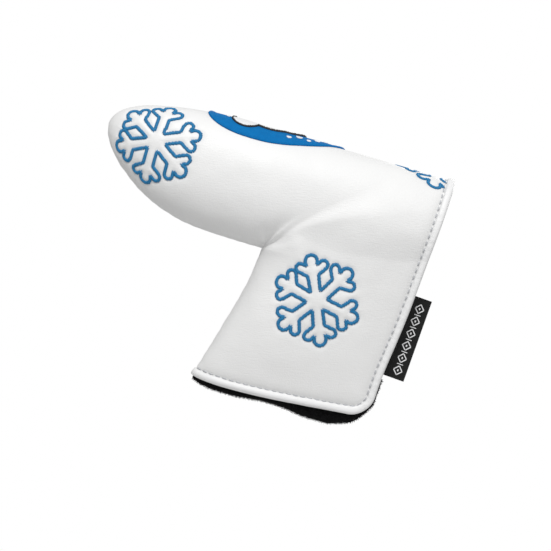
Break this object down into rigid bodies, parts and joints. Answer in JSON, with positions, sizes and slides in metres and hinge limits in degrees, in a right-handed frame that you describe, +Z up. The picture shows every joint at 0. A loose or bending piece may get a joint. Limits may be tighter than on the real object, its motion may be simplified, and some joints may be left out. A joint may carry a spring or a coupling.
{
  "type": "putter head cover",
  "caption": "Padded L-shaped leather cover for a blade putter head, with embroidered snowflakes, a sole patch, bound edges and two flaps that close round the shaft.",
  "frame": {"origin": "centre of the neck's mouth, on the axis of the putter shaft that it closes round", "axes": "+Z up with the sole side on top, +X from the toe to the heel edge, +Y from the front face to the back face"},
  "size_m": [0.1744, 0.048, 0.1285],
  "materials": {
    "white_leather": "satin, fine grain",
    "foam": "matte",
    "black_plush": "matte, deep pile",
    "white_binding": "satin",
    "grey_thread": "matte",
    "blue_thread": "satin",
    "patch_twill": "satin",
    "motif_white": "satin",
    "motif_black": "satin",
    "hook_tape": "matte",
    "loop_tape": "matte",
    "woven_label": "satin"
  },
  "bodies": {
    "cover_body": {"outer_panel": "white_leather", "body_foam": "foam", "body_lining": "black_plush", "sole_end_binding": "white_binding", "sole_end_binding_thread": "grey_thread", "sole_patch": "patch_twill", "sole_patch_border": "blue_thread", "sole_motif": "motif_white", "sole_motif_outline": "motif_black", "snowflake_toe_front": "blue_thread", "snowflake_toe_back": "blue_thread", "snowflake_sole": "blue_thread", "snowflake_neck_front_upper": "blue_thread", "snowflake_neck_back_upper": "blue_thread"},
    "front_flap": {"front_flap_leather": "white_leather", "front_flap_foam": "foam", "front_flap_lining": "black_plush", "front_flap_binding": "white_binding", "front_flap_binding_thread": "grey_thread", "snowflake_neck_front_lower": "blue_thread", "hook_strip": "hook_tape", "side_label": "woven_label"},
    "back_flap": {"back_flap_leather": "white_leather", "back_flap_foam": "foam", "back_flap_lining": "black_plush", "back_flap_binding": "white_binding", "back_flap_binding_thread": "grey_thread", "snowflake_neck_back_lower": "blue_thread", "loop_strip": "loop_tape"}
  },
  "joints": [
    {"name": "front_flap_fold", "type": "hinge", "parent": "cover_body", "child": "front_flap", "pos_m": [0.0526, -0.0235, 0.112], "axis": [-0.6697, 0.0896, -0.7372], "range_deg": [0, 60], "stiffness_Nm_per_rad": 0.04, "springref_deg": -8.59},
    {"name": "back_flap_fold", "type": "hinge", "parent": "cover_body", "child": "back_flap", "pos_m": [0.0526, 0.0235, 0.112], "axis": [0.6697, 0.0896, 0.7372], "range_deg": [0, 60], "stiffness_Nm_per_rad": 0.04, "springref_deg": -8.59}
  ]
}
